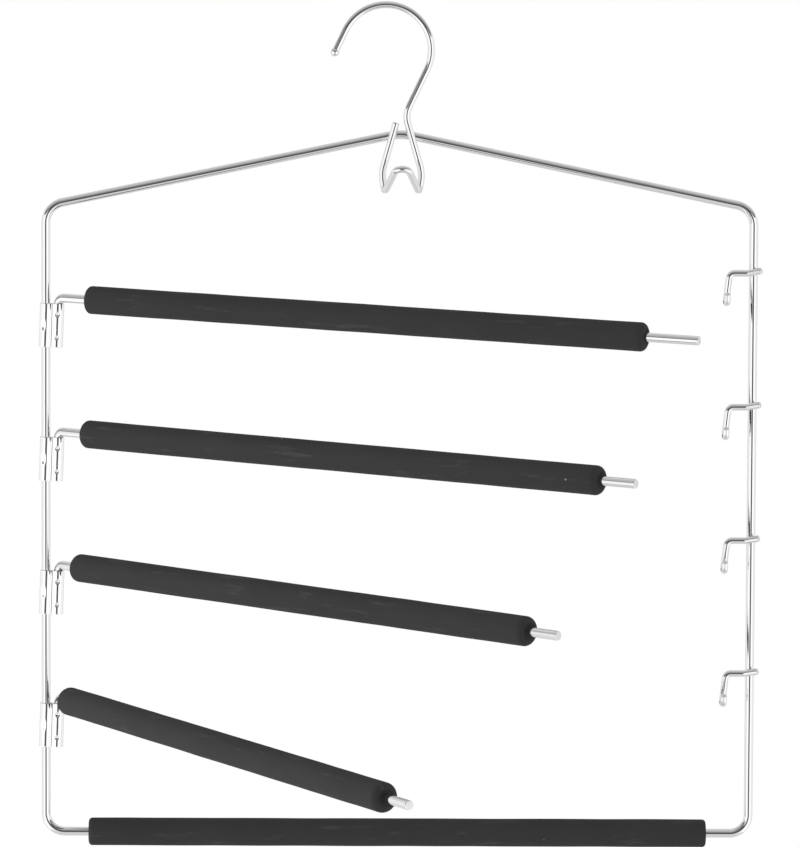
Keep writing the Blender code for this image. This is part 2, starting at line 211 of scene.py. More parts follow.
@dataclass(frozen=True)
class Layer:
    """One pattern of a finish.

    Attributes:
        size: Its real size along each axis.
        pattern: What draws it.
        wrapped: Whether it lies round and along a piece, and not through it.
        detail: How many finer steps it has.
        coarse: How strong they are.
        fade: How it is read, if not as it is.
        colour: The colour that it brings, as sRGB hex.
        depth: The depth of its relief.
        strength: The strength of its relief.
        dulls: Whether it gives the roughness.
    """

    size: tuple[float, float, float]
    pattern: Pattern = Pattern.CLOUDS
    wrapped: bool = False
    detail: float = 0.0
    coarse: float = 0.5
    fade: Fade | None = None
    colour: str = ""
    depth: float = 0.0
    strength: float = 1.0
    dulls: bool = False

    def add(self, tree: NodeTree) -> Node:
        """Adds the pattern to a material.

        Args:
            tree: The material's tree.

        Returns:
            The node that gives the pattern's value.
        """
        place = add_node(tree, "TexCoord").outputs["UV" if self.wrapped else "Object"]
        run = add_node(tree, "Mapping", {"Vector": place, "Scale": [1 / size for size in self.size]})
        inputs = {"Vector": run, "Scale": 1.0, "Detail": self.detail, "Roughness": self.coarse}
        flat = {"noise_dimensions": "2D"} if self.wrapped else {}
        drawn = add_node(tree, self.pattern.value, inputs, **flat)
        return add_node(tree, "MapRange", self.fade.of(drawn)) if self.fade else drawn


@dataclass(frozen=True)
class Finish:
    """A surface finish, made once as a material.

    Attributes:
        name: The material's name.
        colour: Its main colour, as sRGB hex.
        metallic: How far it is a bare metal.
        roughness: Its plain roughness.
        gloss: How strong its plain reflection is.
        layers: Its patterns, from the lowest up.
    """

    name: str
    colour: str
    metallic: float
    roughness: float
    gloss: float = 0.5
    layers: tuple[Layer, ...] = ()

    def make(self) -> Material:
        """Returns the finish as a material, and makes it at the first call.

        Returns:
            The material.
        """
        made = bpy.data.materials.get(self.name)
        if made is None:
            made = bpy.data.materials.new(self.name)
            made.use_nodes = True
            shader = made.node_tree.nodes["Principled BSDF"]
            feed(shader, {"Base Color": linear(self.colour), "Metallic": self.metallic})
            feed(shader, {"Roughness": self.roughness, "Specular IOR Level": self.gloss})
            self.detail(made.node_tree, shader)
        return made

    def detail(self, tree: NodeTree, shader: Node) -> None:
        """Lays the layers over the plain shader.

        Args:
            tree: The material's tree.
            shader: Its Principled shader.
        """
        tint, relief = linear(self.colour), {}
        for layer in self.layers:
            value = layer.add(tree)
            if layer.colour:
                mixed = {"Factor": value, "A": tint, "B": linear(layer.colour)}
                tint = add_node(tree, "Mix", mixed, data_type="RGBA")
                feed(shader, {"Base Color": tint})
            if layer.depth:
                height = {"Height": value, "Distance": layer.depth, "Strength": layer.strength}
                relief = {"Normal": add_node(tree, "Bump", {**height, **relief})}
                feed(shader, relief)
            if layer.dulls:
                feed(shader, {"Roughness": value})


@dataclass(frozen=True)
class ChromeCut(Finish):
    """Chrome electroplate over the sheared end of a wire.

    Duller than the drawn flank, because the shear leaves fine tear lines, which the thin plate follows.
    """

    name: str = "chrome_plate_on_sheared_end"
    colour: str = "#DEDEDE"
    metallic: float = 1.0
    roughness: float = 0.4
    # Tear lines are some 0.1 mm apart, and drawn at 0.3 mm so that they show
    layers: tuple[Layer, ...] = (Layer((2.5 * MM, 2.5 * MM, 0.3 * MM), detail=3.0, depth=0.008 * MM),)


@dataclass(frozen=True)
class ChromeWire(Finish):
    """Bright chrome electroplate on cold-drawn steel wire.

    A near mirror. The drawing die leaves faint lines along the wire, the plate is slightly wavy, and
    handling leaves patches that are a little duller.
    """

    name: str = "chrome_plate_on_drawn_wire"
    colour: str = "#E9E9E9"
    metallic: float = 1.0
    roughness: float = 0.06
    layers: tuple[Layer, ...] = (
        # Die lines are some 0.05 mm apart, and drawn at 0.35 mm so that they show
        Layer((0.35 * MM, 30.0 * MM, 1.0), wrapped=True, detail=2.0, depth=0.0012 * MM),
        # Waves of the plate
        Layer((9.0 * MM,) * 3, detail=1.0, depth=0.004 * MM),
        # Handling marks
        Layer((16.0 * MM,) * 3, detail=4.0, coarse=0.6, fade=Fade(0.5, 0.8, 0.06, 0.16), dulls=True),
    )
    cut: Finish = ChromeCut()


@dataclass(frozen=True)
class ChromeSheet(Finish):
    """Bright chrome electroplate on stamped and rolled steel sheet.

    A near mirror with the faint pebble of rolled strip under the plate, which softens its reflections.
    """

    name: str = "chrome_plate_on_rolled_sheet"
    colour: str = "#F4F4F4"
    metallic: float = 1.0
    roughness: float = 0.08
    layers: tuple[Layer, ...] = (
        # The strip's pebble is some 0.2 mm across, and drawn at 0.7 mm so that it shows
        Layer((0.7 * MM,) * 3, detail=2.0, depth=0.0016 * MM),
        # Slow waves, duller in places
        Layer((5.0 * MM,) * 3, detail=2.0, depth=0.004 * MM),
        Layer((5.0 * MM,) * 3, detail=2.0, fade=Fade(0.5, 0.75, 0.08, 0.2), dulls=True),
    )


@dataclass(frozen=True)
class FoamSkin(Finish):
    """Extruded skin of closed-cell nitrile rubber foam.

    Soft matt charcoal. Fine closed cells break up the light, the tone clouds slowly along the sleeve,
    rubbing leaves short pale streaks along it, and a few specks of lint stick to it.
    """

    name: str = "nitrile_foam_extruded_skin"
    colour: str = "#343434"
    metallic: float = 0.0
    roughness: float = 0.86
    gloss: float = 0.2
    layers: tuple[Layer, ...] = (
        # Clouding
        Layer((38.0 * MM,) * 3, detail=4.0, coarse=0.55, colour="#3D3D3D"),
        # Rubbed streaks
        Layer(
            (5.0 * MM, 34.0 * MM, 1.0), wrapped=True, detail=5.0, coarse=0.62,
            fade=Fade(0.6, 0.82, 0.0, 0.55), colour="#585858",
        ),
        # Lint, 0.6 mm across and some 17 mm apart
        Layer((17.0 * MM,) * 3, Pattern.CELLS, fade=Fade(0.6 / 17, 0.3 / 17, 0.0, 0.8), colour="#B4B4B4"),
        # Cells are some 0.2 mm across, and drawn at 0.8 mm so that they show
        Layer((0.8 * MM,) * 3, Pattern.CELLS, depth=0.05 * MM, strength=0.6),
    )


@dataclass(frozen=True)
class FoamCut(Finish):
    """Knife-cut end of closed-cell nitrile rubber foam.

    Rougher than the skin, and darker only through painted shade: the knife opens the cells, and their
    centres are painted dark where shade falls in them.
    """

    name: str = "nitrile_foam_knife_cut"
    colour: str = "#343434"
    metallic: float = 0.0
    roughness: float = 0.95
    gloss: float = 0.2
    layers: tuple[Layer, ...] = (
        # Opened cells are some 0.3 mm across, and drawn at 0.7 mm so that they show, deep inside; their
        # dark centres are painted shade
        Layer((0.7 * MM,) * 3, Pattern.CELLS, fade=Fade(0.1, 0.55, 1.0, 0.0), colour="#2A2A2A"),
        Layer((0.7 * MM,) * 3, Pattern.CELLS, fade=Fade(0.1, 0.55), depth=0.18 * MM, strength=0.7),
    )


@dataclass(frozen=True)
class FloorVinyl(Finish):
    """Matt white vinyl of a studio floor.

    Even and pale. It takes the part's soft shadow and fades into the white surroundings at its rim.
    """

    name: str = "matt_white_studio_vinyl"
    colour: str = "#DEDEDE"
    metallic: float = 0.0
    roughness: float = 0.9
    # How much of the floor is plain white, to metal and glass, and to the camera towards its rim
    white_share: float = 0.45
    whitening: Fade = Fade(0.7, 1.1, 0.45)

    def detail(self, tree: NodeTree, shader: Node) -> None:
        """Fades the floor to plain white towards its rim.

        Args:
            tree: The material's tree.
            shader: Its Principled shader.
        """
        place = add_node(tree, "TexCoord").outputs["Object"]
        reach = add_node(tree, "VectorMath", {0: place}, operation="LENGTH")
        rim = add_node(tree, "MapRange", self.whitening.of(reach), **SMOOTH)
        path = add_node(tree, "LightPath").outputs
        rays = {0: path["Is Glossy Ray"], 1: path["Is Transmission Ray"]}
        mirror = add_node(tree, "Math", rays, operation="MAXIMUM")
        mirrored = add_node(tree, "Math", {0: mirror, 1: self.white_share}, operation="MULTIPLY")
        seen = add_node(tree, "Math", {0: path["Is Camera Ray"], 1: rim}, operation="MULTIPLY")
        share = add_node(tree, "Math", {0: seen, 1: mirrored}, operation="MAXIMUM")
        white = add_node(tree, "Emission", {"Color": linear(WHITE), "Strength": 1.0})
        both = add_node(tree, "MixShader", {0: share, 1: shader, 2: white})
        feed(tree.nodes["Material Output"], {"Surface": both})


def spread(start: float, end: float, step: float) -> list[float]:
    """Returns even values from start to end, no further apart than step.

    Args:
        start: The first value.
        end: The last value.
        step: The widest gap.

    Returns:
        The values, both ends among them.
    """
    count = max(1, math.ceil(abs(end - start) / step))
    return [start + (end - start) * i / count for i in range(count + 1)]


def bend(before: Vector, corner: Vector, after: Vector, radius: float) -> list[Vector]:
    """Returns the arc that rounds one corner of a wire's path.

    Args:
        before: The path's corner before this one.
        corner: The corner.
        after: The path's corner after it.
        radius: The bend's radius, held to what the runs beside it leave room for.

    Returns:
        Points of the arc.
    """
    back = (before - corner).normalized()
    ahead = (after - corner).normalized()
    half = back.angle(ahead) / 2
    room = FILLET_SHARE * min((before - corner).length, (after - corner).length)
    tangent = min(radius / math.tan(half), room)
    radius = tangent * math.tan(half)
    inward = (back + ahead).normalized()
    centre = corner + inward * radius / math.sin(half)
    side = (ahead - back).normalized()
    sweep = math.pi / 2 - half
    turns = spread(-sweep, sweep, BEND_STEP)
    return [centre + radius * (side * math.sin(a) - inward * math.cos(a)) for a in turns]


def tube(stations: Sequence[float], sides: int, girth: float, closed: bool = False) -> tuple[Faces, Flat]:
    """Returns the faces between rings of points, with metres round and along them as UVs.

    Args:
        stations: Distance along for each ring, and for the first once more where the last joins it.
        sides: Points in each ring.
        girth: Length round a ring.
        closed: Whether the last ring joins the first.

    Returns:
        The faces as places of their points, and a UV for each corner of each face in turn.
    """
    count = len(stations) - 1 if closed else len(stations)
    faces, uvs = [], []
    for i, (first, last) in enumerate(zip(stations, stations[1:])):
        low, high = i * sides, (i + 1) % count * sides
        for j in range(sides):
            k = (j + 1) % sides
            left, right = girth * j / sides, girth * (j + 1) / sides
            faces.append((low + j, low + k, high + k, high + j))
            uvs += [(left, first), (right, first), (right, last), (left, last)]
    return faces, uvs


@dataclass
class Wire:
    """A round wire: its centre line, and its radius at each point of it.

    Attributes:
        points: Points of the centre line.
        radii: The radius at each point.
        closed: Whether the wire is welded into a ring.
        sheared: Which of its two ends show a sheared face.
    """

    points: list[Vector] = field(default_factory=list)
    radii: list[float] = field(default_factory=list)
    closed: bool = False
    sheared: tuple[bool, bool] = (False, False)

    def run(self, points: list[Vector], radius: float) -> "Wire":
        """Goes on through points at one radius.

        Args:
            points: The next points.
            radius: The wire's radius there.

        Returns:
            The wire itself.
        """
        self.points += points
        self.radii += [radius] * len(points)
        return self

    def through(self, corners: list[Vector], bends: list[float], radius: float) -> "Wire":
        """Goes on through corners, each rounded by its own bend.

        Args:
            corners: Corners of the path.
            bends: Bend radius at each corner, 0 for an end.
            radius: The wire's radius.

        Returns:
            The wire itself.
        """
        for i, corner in enumerate(corners):
            ahead = corners[(i + 1) % len(corners)]
            self.run(bend(corners[i - 1], corner, ahead, bends[i]) if bends[i] else [corner], radius)
        return self

    def trim(self, edge: float, first: bool = True, last: bool = True) -> "Wire":
        """Gives cut ends their sheared face, slightly domed, with a broken edge.

        Args:
            edge: How wide the broken edge is.
            first: Whether the wire's first end is cut.
            last: Whether its last end is cut.

        Returns:
            The wire itself.
        """
        self.sheared = (first, last)
        quarter = spread(0, math.pi / 2, EDGE_STEP)
        for wanted, order in ((first, 1), (last, -1)):
            if not wanted:
                continue
            points = self.points[::order]
            radii = self.radii[::order]
            inward = (points[1] - points[0]).normalized()
            radius = radii[0]
            face = [(0.0, FACE_CORE * radius), (FACE_DOME, FACE_RIM * (radius - edge))]
            for a in quarter:
                face.append((2 * FACE_DOME + edge * (1 - math.cos(a)), radius - edge * (1 - math.sin(a))))
            points = [points[0] + inward * depth for depth, _ in face] + points[1:]
            radii = [wide for _, wide in face] + radii[1:]
            self.points = points[::order]
            self.radii = radii[::order]
        return self

    def dense(self, step: float) -> list[Vector]:
        """Returns points along the centre line, no further apart than step.

        Args:
            step: The widest gap.

        Returns:
            The points.
        """
        found = []
        for a, b in zip(self.points, self.points[1:] + (self.points[:1] if self.closed else [])):
            found += [a.lerp(b, t) for t in spread(0, 1, step / max((b - a).length, step))]
        return found

    def brace(self) -> None:
        """Adds points close to the ends of long runs, so that a bend's shading stays in the bend."""
        points, radii = [], []
        count = len(self.points)
        for i, (point, radius) in enumerate(zip(self.points, self.radii)):
            points.append(point)
            radii.append(radius)
            if i == count - 1 and not self.closed:
                continue
            j = (i + 1) % count
            run = (self.points[j] - point).length
            shares = (BRACE / run, 1 - BRACE / run) if run > BRACED_RUN else ()
            for t in shares:
                points.append(point.lerp(self.points[j], t))
                radii.append(radius + (self.radii[j] - radius) * t)
        self.points, self.radii = points, radii

    def mesh(self, name: str, plating: ChromeWire) -> Mesh:
        """Sweeps the wire into a smooth tube with metres round and along it as its UVs.

        Args:
            name: The mesh's name.
            plating: Its finish, with the finish of its sheared ends.

        Returns:
            The mesh.
        """
        self.brace()
        line = np.array(self.points, float)
        count = len(line)
        steps = np.roll(line, -1, 0) - line
        lengths = np.linalg.norm(steps, axis=1, keepdims=True)
        steps /= np.maximum(lengths, TINY)
        ahead = steps + np.roll(steps, 1, 0)
        if not self.closed:
            ahead[0], ahead[-1] = steps[0], steps[-2]
        tangents = [Vector(t).normalized() for t in ahead]
        normal = tangents[0].orthogonal().normalized()
        verts: list[Vector] = []
        turns = spread(0, FULL_TURN, FULL_TURN / WIRE_SIDES)[:-1]
        for i, tangent in enumerate(tangents):
            if i:
                normal = tangents[i - 1].rotation_difference(tangent) @ normal
            normal = (normal - tangent * normal.dot(tangent)).normalized()
            across = tangent.cross(normal)
            rays = [normal * math.cos(a) + across * math.sin(a) for a in turns]
            verts += [self.points[i] + ray * self.radii[i] for ray in rays]
        along = np.concatenate([[0.0], np.cumsum(lengths)])
        stations = along if self.closed else along[:-1]
        faces, uvs = tube(stations, WIRE_SIDES, FULL_TURN * max(self.radii), self.closed)
        if not self.closed:
            faces.append(tuple(reversed(range(WIRE_SIDES))))
            faces.append(tuple(range((count - 1) * WIRE_SIDES, count * WIRE_SIDES)))
            uvs += [(0.0, 0.0)] * (2 * WIRE_SIDES)
        mesh = smooth_mesh(name, verts, faces, uvs)
        mesh.materials.append(plating.make())
        if any(self.sheared):
            # The two caps come after all the rings, two of which belong to each sheared face
            rings = 2 * WIRE_SIDES
            cuts = np.zeros(len(faces), int)
            cuts[-2] = cuts[:rings] = int(self.sheared[0])
            cuts[-1] = cuts[-rings - 2 : -2] = int(self.sheared[1])
            mesh.materials.append(plating.cut.make())
            mesh.polygons.foreach_set("material_index", cuts)
        return mesh


def smooth_mesh(name: str, verts: list, faces: Faces, uvs: Flat | None = None) -> Mesh:
    """Makes a smooth-shaded mesh.

    Args:
        name: The mesh's name.
        verts: Its points.
        faces: Its faces, as places in verts.
        uvs: Metres across and along for each corner of each face in turn.

    Returns:
        The mesh.
    """
    mesh = bpy.data.meshes.new(name)
    mesh.from_pydata([tuple(v) for v in verts], [], faces)
    if uvs:
        layer = mesh.uv_layers.new(name="metres")
        layer.data.foreach_set("uv", np.array(uvs, np.float32).ravel())
    mesh.validate()
    mesh.shade_smooth()
    mesh.set_sharp_from_angle(angle=SHARP_ANGLE)
    return mesh


def add_piece(mesh: Mesh, finish: Finish, body: str, node: str | None = None) -> Object:
    """Puts a finished mesh on its body.

    Args:
        mesh: The mesh, in place in the part's frame.
        finish: Its finish.
        body: The body that it rides on.
        node: The solid that it stands for, if it does.

    Returns:
        The piece.
    """
    piece = bpy.data.objects.new(mesh.name, mesh)
    bpy.context.scene.collection.objects.link(piece)
    if not mesh.materials:
        mesh.materials.append(finish.make())
    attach(piece, body)
    if node:
        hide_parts(node)
    LOG.info("%s rides on %s, %d faces", piece.name, body, len(mesh.polygons))
    return piece


def nearest(a: list[Vector], b: list[Vector]) -> tuple[Vector, Vector]:
    """Returns the two points, one of each list, that lie nearest to each other.

    Args:
        a: Points of one path.
        b: Points of the other.

    Returns:
        The point of a and the point of b.
    """
    gaps = np.linalg.norm(np.array(a)[:, None] - np.array(b)[None], axis=2)
    i, j = np.unravel_index(np.argmin(gaps), gaps.shape)
    return a[i], b[j]


@dataclass
class Weld:
    """Nugget of a resistance weld between two crossing wires, plated over.

    Attributes:
        name: The piece's name.
        first: Point of the one wire's centre line at the crossing.
        second: Point of the other's.
        first_radius: Radius of the one wire.
        second_radius: Radius of the other.
        waist: Radius of the nugget midway.
        flare: How much wider it is where it meets the wires.
        sink: How far it goes into each wire.
        unevenness: How far its flank strays.
        grain: Length over which it strays.
    """

    name: str
    first: Vector
    second: Vector
    first_radius: float
    second_radius: float
    waist: float = 0.95 * MM
    flare: float = 0.55 * MM
    sink: float = 0.5 * MM
    unevenness: float = 0.12 * MM
    grain: float = 0.8 * MM
    sides: int = 28
    rows: int = 9
    finish: ChromeWire = ChromeWire()

    def build(self) -> None:
        """Turns the nugget with a slightly uneven flank and adds it."""
        way = (self.second - self.first).normalized()
        start = self.first + way * (self.first_radius - self.sink)
        reach = (self.second - self.first).length - self.first_radius - self.second_radius + 2 * self.sink
        side = way.orthogonal().normalized()
        over = way.cross(side)
        verts = []
        for i in range(self.rows):
            t = 2 * i / (self.rows - 1) - 1
            wide = self.waist + self.flare * t * t
            for j in range(self.sides):
                angle = FULL_TURN * j / self.sides
                ray = side * math.cos(angle) + over * math.sin(angle)
                spot = start + way * reach * (t + 1) / 2 + ray * wide
                verts.append(spot + ray * self.unevenness * noise.noise(spot / self.grain))
        last = (self.rows - 1) * self.sides
        faces = [tuple(reversed(range(self.sides))), tuple(range(last, last + self.sides))]
        faces += tube(range(self.rows), self.sides, FULL_TURN * self.waist)[0]
        add_piece(smooth_mesh(self.name, verts, faces), self.finish, "frame")


@dataclass
class RodHook:
    """Rod hook: a tilted half circle with a beaded tip, a stem and the loop welded to the frame's apex."""

    rod_radius: float = 22.9 * MM
    tilt: float = math.radians(25.5)
    tip_length: float = 13.2 * MM
    tip_bead: float = 4.8 * MM
    stem_length: float = 27.3 * MM
    stem_bend: float = 13.0 * MM
    loop_offset: float = 1.7 * MM
    knee_drop: float = 32.25 * MM
    knee_width: float = 22.3 * MM
    knee_bend: float = 20.0 * MM
    loop_width: float = 19.2 * MM
    loop_drop: float = 41.15 * MM
    turn_inset: float = 0.8 * MM
    turn_reach: float = 4.6 * MM
    turn_bend: float = 2.3 * MM
    crest_drop: float = 22.35 * MM
    crest_bend: float = 4.4 * MM
    crest_reach: float = 31.4 * MM
    end_drop: float = 4.4 * MM
    end_offset: float = 3.3 * MM
    cut_edge: float = 0.4 * MM
    bead_start: float = math.radians(4.0)
    bead_step: float = math.radians(6.0)
    finish: ChromeWire = ChromeWire()

    def __post_init__(self) -> None:
        """Works out the places that follow from the sizes."""
        self.radius = self.rod_radius + Gauge.HOOK.radius
        self.centre = Vector((0, 0, -self.rod_radius))
        self.out = Vector((math.cos(self.tilt), 0, -math.sin(self.tilt)))
        self.down = Vector((-math.sin(self.tilt), 0, -math.cos(self.tilt)))
        self.neck = self.centre + self.radius * self.out + self.stem_length * self.down
        self.wire = Wire()
        self.legs: list[Wire] = []

    def bend_tip(self) -> None:
        """Adds the rounded bead on the hook's free end."""
        bead = self.tip_bead / 2
        centre = self.centre - self.radius * self.out + self.down * self.tip_length
        for angle in spread(math.pi - self.bead_start, math.asin(Gauge.HOOK.radius / bead), self.bead_step):
            self.wire.run([centre - self.down * bead * math.cos(angle)], bead * math.sin(angle))

    def build(self) -> None:
        """Bends the hook from its tip to the end of its loop and adds it."""
        self.bend_tip()
        turns = spread(math.pi - self.tilt, -self.tilt, BEND_STEP)
        arc = [self.centre + self.radius * Vector((math.cos(a), 0, math.sin(a))) for a in turns]
        side = Vector((1, 0, 0))
        mirror = Vector((-1, 1, 1))
        knee = side * self.knee_width / 2 - UP * self.knee_drop
        outer = side * self.loop_width / 2 - UP * self.loop_drop
        inner = outer - Vector((self.turn_inset, self.turn_reach, 0))
        crest = Vector((0, -self.crest_reach, -self.crest_drop))
        end = Vector((-self.end_offset, 0, -self.end_drop))
        steps = [knee, outer, inner, crest, inner * mirror, outer * mirror, knee * mirror, end]
        middle = self.neck - side * self.loop_offset
        corners = [arc[-1], self.neck, *[middle + s for s in steps]]
        turn = [self.turn_bend, self.turn_bend]
        bends = [0, self.stem_bend, self.knee_bend, *turn, self.crest_bend, *turn, self.knee_bend, 0]
        loop = Wire().through(corners, bends, Gauge.HOOK.radius)
        self.legs = [Wire([self.neck, middle + knee]), Wire([middle + knee * mirror, middle + end])]
        self.wire.run(arc + loop.points[1:], Gauge.HOOK.radius).trim(self.cut_edge, first=False)
        mesh = self.wire.mesh("rod_hook", self.finish)
        add_piece(mesh, self.finish, "frame", "hook")


@dataclass
class WireFrame:
    """Closed frame of one bent wire: pitched top, two uprights and the bottom wire."""

    hook: RodHook
    width: float = 390.0 * MM
    apex_rise: float = 40.5 * MM
    first_drop: float = 50.45 * MM
    pitch: float = 73.95 * MM
    last_rise: float = 74.9 * MM
    apex_bend: float = 30.0 * MM
    shoulder_bend: float = 11.5 * MM
    corner_bend: float = 10.5 * MM
    apex_offset: float = 2.52 * MM
    weld_drop: float = 10.45 * MM
    weld_gap: float = 0.3 * MM
    tiers: int = 4
    weld_step: float = 0.3 * MM
    weld_reach: float = 20.0 * MM
    foam_inset: float = 23.7 * MM
    finish: ChromeWire = ChromeWire()

    def __post_init__(self) -> None:
        """Works out the frame's corners and the tiers' levels."""
        self.back = Gauge.FRAME.radius + Gauge.HOOK.radius + self.weld_gap
        neck = self.hook.neck
        self.apex = Vector((neck.x - self.apex_offset, self.back, neck.z - self.weld_drop))
        self.left = self.apex.x - self.width / 2
        self.right = self.apex.x + self.width / 2
        self.shoulder = self.apex.z - self.apex_rise
        self.bottom = self.shoulder - self.first_drop - (self.tiers - 1) * self.pitch - self.last_rise
        self.wire = Wire(closed=True)

    def level(self, tier: int) -> float:
        """Returns the height of an arm's wire at its hinge."""
        return self.shoulder - self.first_drop - tier * self.pitch

    def build(self) -> None:
        """Bends the frame and adds it."""
        corners = [
            self.apex,
            Vector((self.right, self.back, self.shoulder)),
            Vector((self.right, self.back, self.bottom)),
            Vector((self.left, self.back, self.bottom)),
            Vector((self.left, self.back, self.shoulder)),
        ]
        bends = [self.apex_bend, self.shoulder_bend, self.corner_bend, self.corner_bend, self.shoulder_bend]
        self.wire.through(corners, bends, Gauge.FRAME.radius)
        mesh = self.wire.mesh("bent_frame", self.finish)
        add_piece(mesh, self.finish, "frame", "frame_wire")

    def weld_hook(self) -> None:
        """Adds the two welds that hold the hook's loop to the apex."""
        line = self.wire.dense(self.weld_step)
        near_apex = [p for p in line if (p - self.apex).length < self.weld_reach]
        for i, leg in enumerate(self.hook.legs):
            spots = nearest(leg.dense(self.weld_step), near_apex)
            Weld(f"weld_hook_{i + 1}", *spots, Gauge.HOOK.radius, Gauge.FRAME.radius).build()

    def dress(self) -> None:
        """Pushes the foam sleeve over the bottom wire."""
        inset = Vector((self.foam_inset, 0, 0))
        left = Vector((self.left, self.back, self.bottom)) + inset
        right = Vector((self.right, self.back, self.bottom)) - inset
        FoamGrip("foam_bottom", "bottom_grip", "frame", left, right, Gauge.FRAME).build()


@dataclass
class Catch:
    """Catch of one tier: a tail welded across the upright, a kink, a level run, a leg and an open slot."""

    frame: WireFrame
    tier: int
    inset: float = 15.3 * MM
    tail: float = 4.0 * MM
    run_rise: float = 15.0 * MM
    run_bend: float = 3.2 * MM
    leg_slant: float = 1.9 * MM
    kink_inset: float = 3.4 * MM
    kink_bend: float = 3.0 * MM
    kink_yaw: float = math.radians(25.0)
    kink_rise: float = math.radians(12.0)
    seat_rise: float = 0.85 * MM
    lip_height: float = 3.3 * MM
    lip_flare: float = 2.0 * MM
    slot_play: float = 0.3 * MM
    cut_edge: float = 0.4 * MM
    weld_step: float = 0.2 * MM
    finish: ChromeWire = ChromeWire()

    def build(self) -> None:
        """Bends the catch, adds it and welds it to the upright."""
        wire = Gauge.CATCH.value
        seat = self.frame.level(self.tier) + self.seat_rise
        run_z = self.frame.level(self.tier) + self.run_rise
        floor = seat - wire / 2
        upright = Vector((self.frame.right, self.frame.back, 0))
        reach = Gauge.FRAME.radius + wire / 2 + self.frame.weld_gap
        run_y = (self.kink_inset * math.sin(self.kink_yaw) - reach) / math.cos(self.kink_yaw)
        kink = upright + Vector((-self.kink_inset, run_y, run_z))
        length = self.kink_inset + self.tail
        rise = length * math.tan(self.kink_rise)
        leg = upright + Vector((-self.inset, run_y, 0))
        pitch = Gauge.ARM.value + 2 * self.slot_play + wire
        front = Vector((0, -pitch, 0))
        corners = [
            kink + Vector((length, -length * math.tan(self.kink_yaw), rise)),
            kink,
            leg + Vector((self.leg_slant, 0, run_z)),
            leg + UP * floor,
            leg + front + UP * floor,
            leg + front + Vector((0, -self.lip_flare, seat + self.lip_height)),
        ]
        bends = [0, self.kink_bend, self.run_bend, pitch / 2, pitch / 2, 0]
        bent = Wire().through(corners, bends, wire / 2)
        number = self.tier + 1
        tail = Wire([corners[0], kink]).dense(self.weld_step)
        spot = nearest(tail, self.frame.wire.dense(self.weld_step))
        mesh = bent.trim(self.cut_edge).mesh(f"bent_catch_{number}", self.finish)
        add_piece(mesh, self.finish, "frame", f"catch_{number}")
        Weld(f"weld_catch_{number}", *spot, wire / 2, Gauge.FRAME.radius).build()


@dataclass(frozen=True)
class StripPoint:
    """One point of a rolled strip in plan.

    Attributes:
        place: Where it lies.
        normal: The way out of the strip there.
        sleeve: What it belongs to.
        across: Its distance from the sleeve's front line, round the sleeve.
    """

    place: Vector
    normal: Vector
    sleeve: Sleeve
    across: float


@dataclass(frozen=True)
class Press:
    """One thing pressed into a sleeve's front, or out of it.

    Attributes:
        sleeve: The sleeve that it is in.
        aside: Its middle from the sleeve's front line, round the sleeve.
        height: Its middle above the bracket's middle.
        wide: Its width round the sleeve.
        tall: Its height.
        deep: Its depth, below 0 for a bulge.
    """

    sleeve: Sleeve
    aside: float
    height: float
    wide: float
    tall: float
    deep: float

    def depth(self, point: StripPoint, height: float) -> float:
        """Returns how far it pushes the wall in.

        Args:
            point: The point of the strip.
            height: Height above the bracket's middle.

        Returns:
            The depth, 0 outside the press.
        """
        aside = 2 * (point.across - self.aside) / self.wide
        share = math.hypot(aside, 2 * (height - self.height) / self.tall)
        if point.sleeve is not self.sleeve or share >= 1:
            return 0.0
        return self.deep * (1 + math.cos(math.pi * share)) / 2


